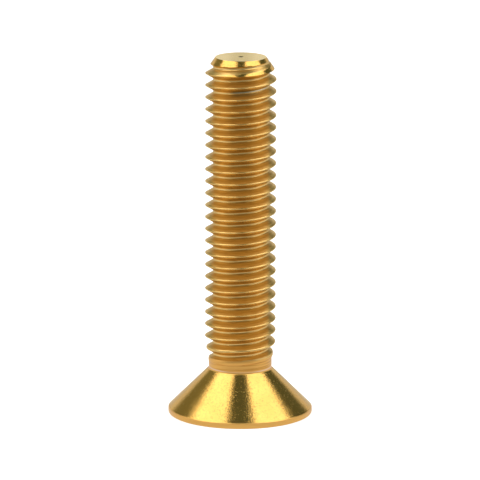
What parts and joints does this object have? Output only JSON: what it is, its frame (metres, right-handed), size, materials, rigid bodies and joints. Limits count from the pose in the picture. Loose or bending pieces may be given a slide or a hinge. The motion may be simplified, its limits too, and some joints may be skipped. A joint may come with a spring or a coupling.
{
  "type": "countersunk machine screw",
  "caption": "Gold-coloured countersunk machine screw with a full-length coarse metric thread, a polished conical head and a hexagon socket.",
  "frame": {"origin": "centre of the flat head face, on the screw's axis", "axes": "+Z along the shank from the head face to the tip, so the screw stands on its head; the thread crest meets +X at whole pitches above the head face"},
  "size_m": [0.0118, 0.0118, 0.0298],
  "materials": {
    "screw": "gold-coloured hard coat: satin thread, fine-turned neck and rim, mirror-polished cone and chamfer"
  },
  "bodies": {
    "root": {"screw": "screw"}
  },
  "joints": []
}
